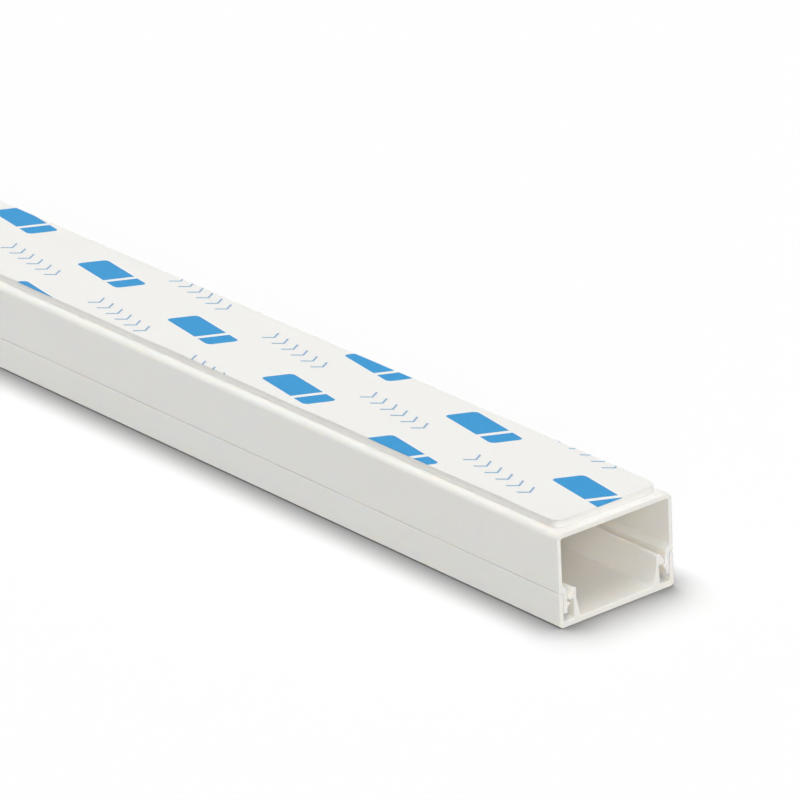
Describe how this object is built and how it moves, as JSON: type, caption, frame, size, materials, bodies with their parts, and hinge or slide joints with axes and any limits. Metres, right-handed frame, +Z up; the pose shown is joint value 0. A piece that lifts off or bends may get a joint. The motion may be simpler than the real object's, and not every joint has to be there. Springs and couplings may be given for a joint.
{
  "type": "cord cover raceway",
  "caption": "Straight plastic cord cover raceway: a channel, a cover that clips in on hooked legs, and a self-adhesive foam back under a release liner.",
  "frame": {"origin": "centre of the rectangle that the cover's flat face rests on", "axes": "+X along the stick, +Y across it, +Z up out of the adhesive back"},
  "size_m": [0.4, 0.025, 0.0185],
  "materials": {
    "channel_plastic": "satin white rigid PVC",
    "cover_plastic": "satin white rigid PVC",
    "tape_foam": "white closed-cell foam",
    "liner_sheet": "smooth coated off-white sheet with a blue print"
  },
  "bodies": {
    "channel": {"base_channel": "channel_plastic", "foam_tape": "tape_foam", "release_liner": "liner_sheet"},
    "cover": {"snap_cover": "cover_plastic"}
  },
  "joints": [
    {"name": "cover_slide", "type": "slide", "parent": "channel", "child": "cover", "axis": [1, 0, 0], "range_m": [-0.405, 0.405]}
  ]
}
